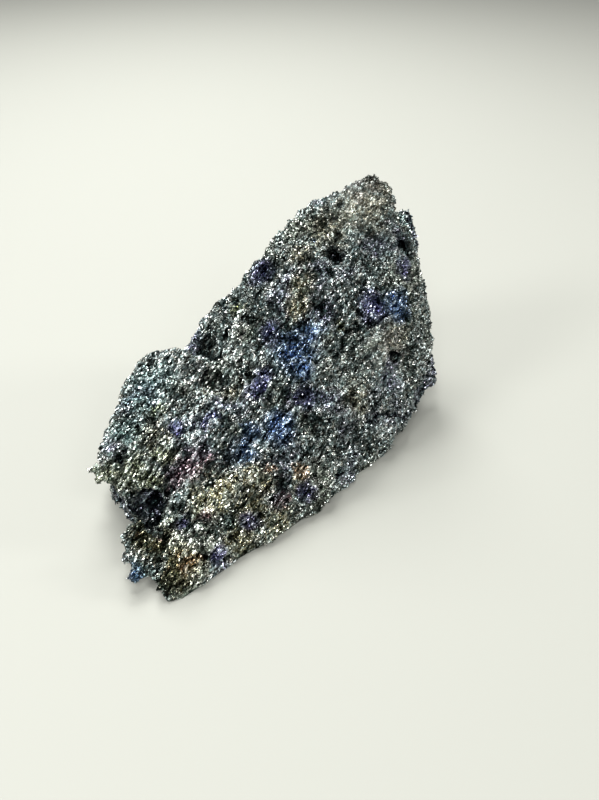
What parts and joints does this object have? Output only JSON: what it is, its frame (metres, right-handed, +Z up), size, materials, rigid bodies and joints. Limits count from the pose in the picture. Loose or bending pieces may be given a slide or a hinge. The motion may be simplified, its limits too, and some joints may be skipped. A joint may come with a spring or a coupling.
{
  "type": "silicon carbide crystal",
  "caption": "Wedge-shaped chunk of dark intergrown silicon carbide crystals with pits, ledges and a ragged low end, resting on its flat underside.",
  "frame": {"origin": "under the middle of the chunk's box, on the surface that it rests on", "axes": "+X along the chunk from the low ragged end to the high end, +Y away from the broad sloping face, +Z up"},
  "size_m": [0.117, 0.064, 0.061],
  "materials": {
    "crystal": "dark silvery-black crystal faces with a metallic sparkle and thin blue, violet, green and gold tarnish"
  },
  "bodies": {
    "root": {"silicon_carbide_crystal": "crystal"}
  },
  "joints": []
}
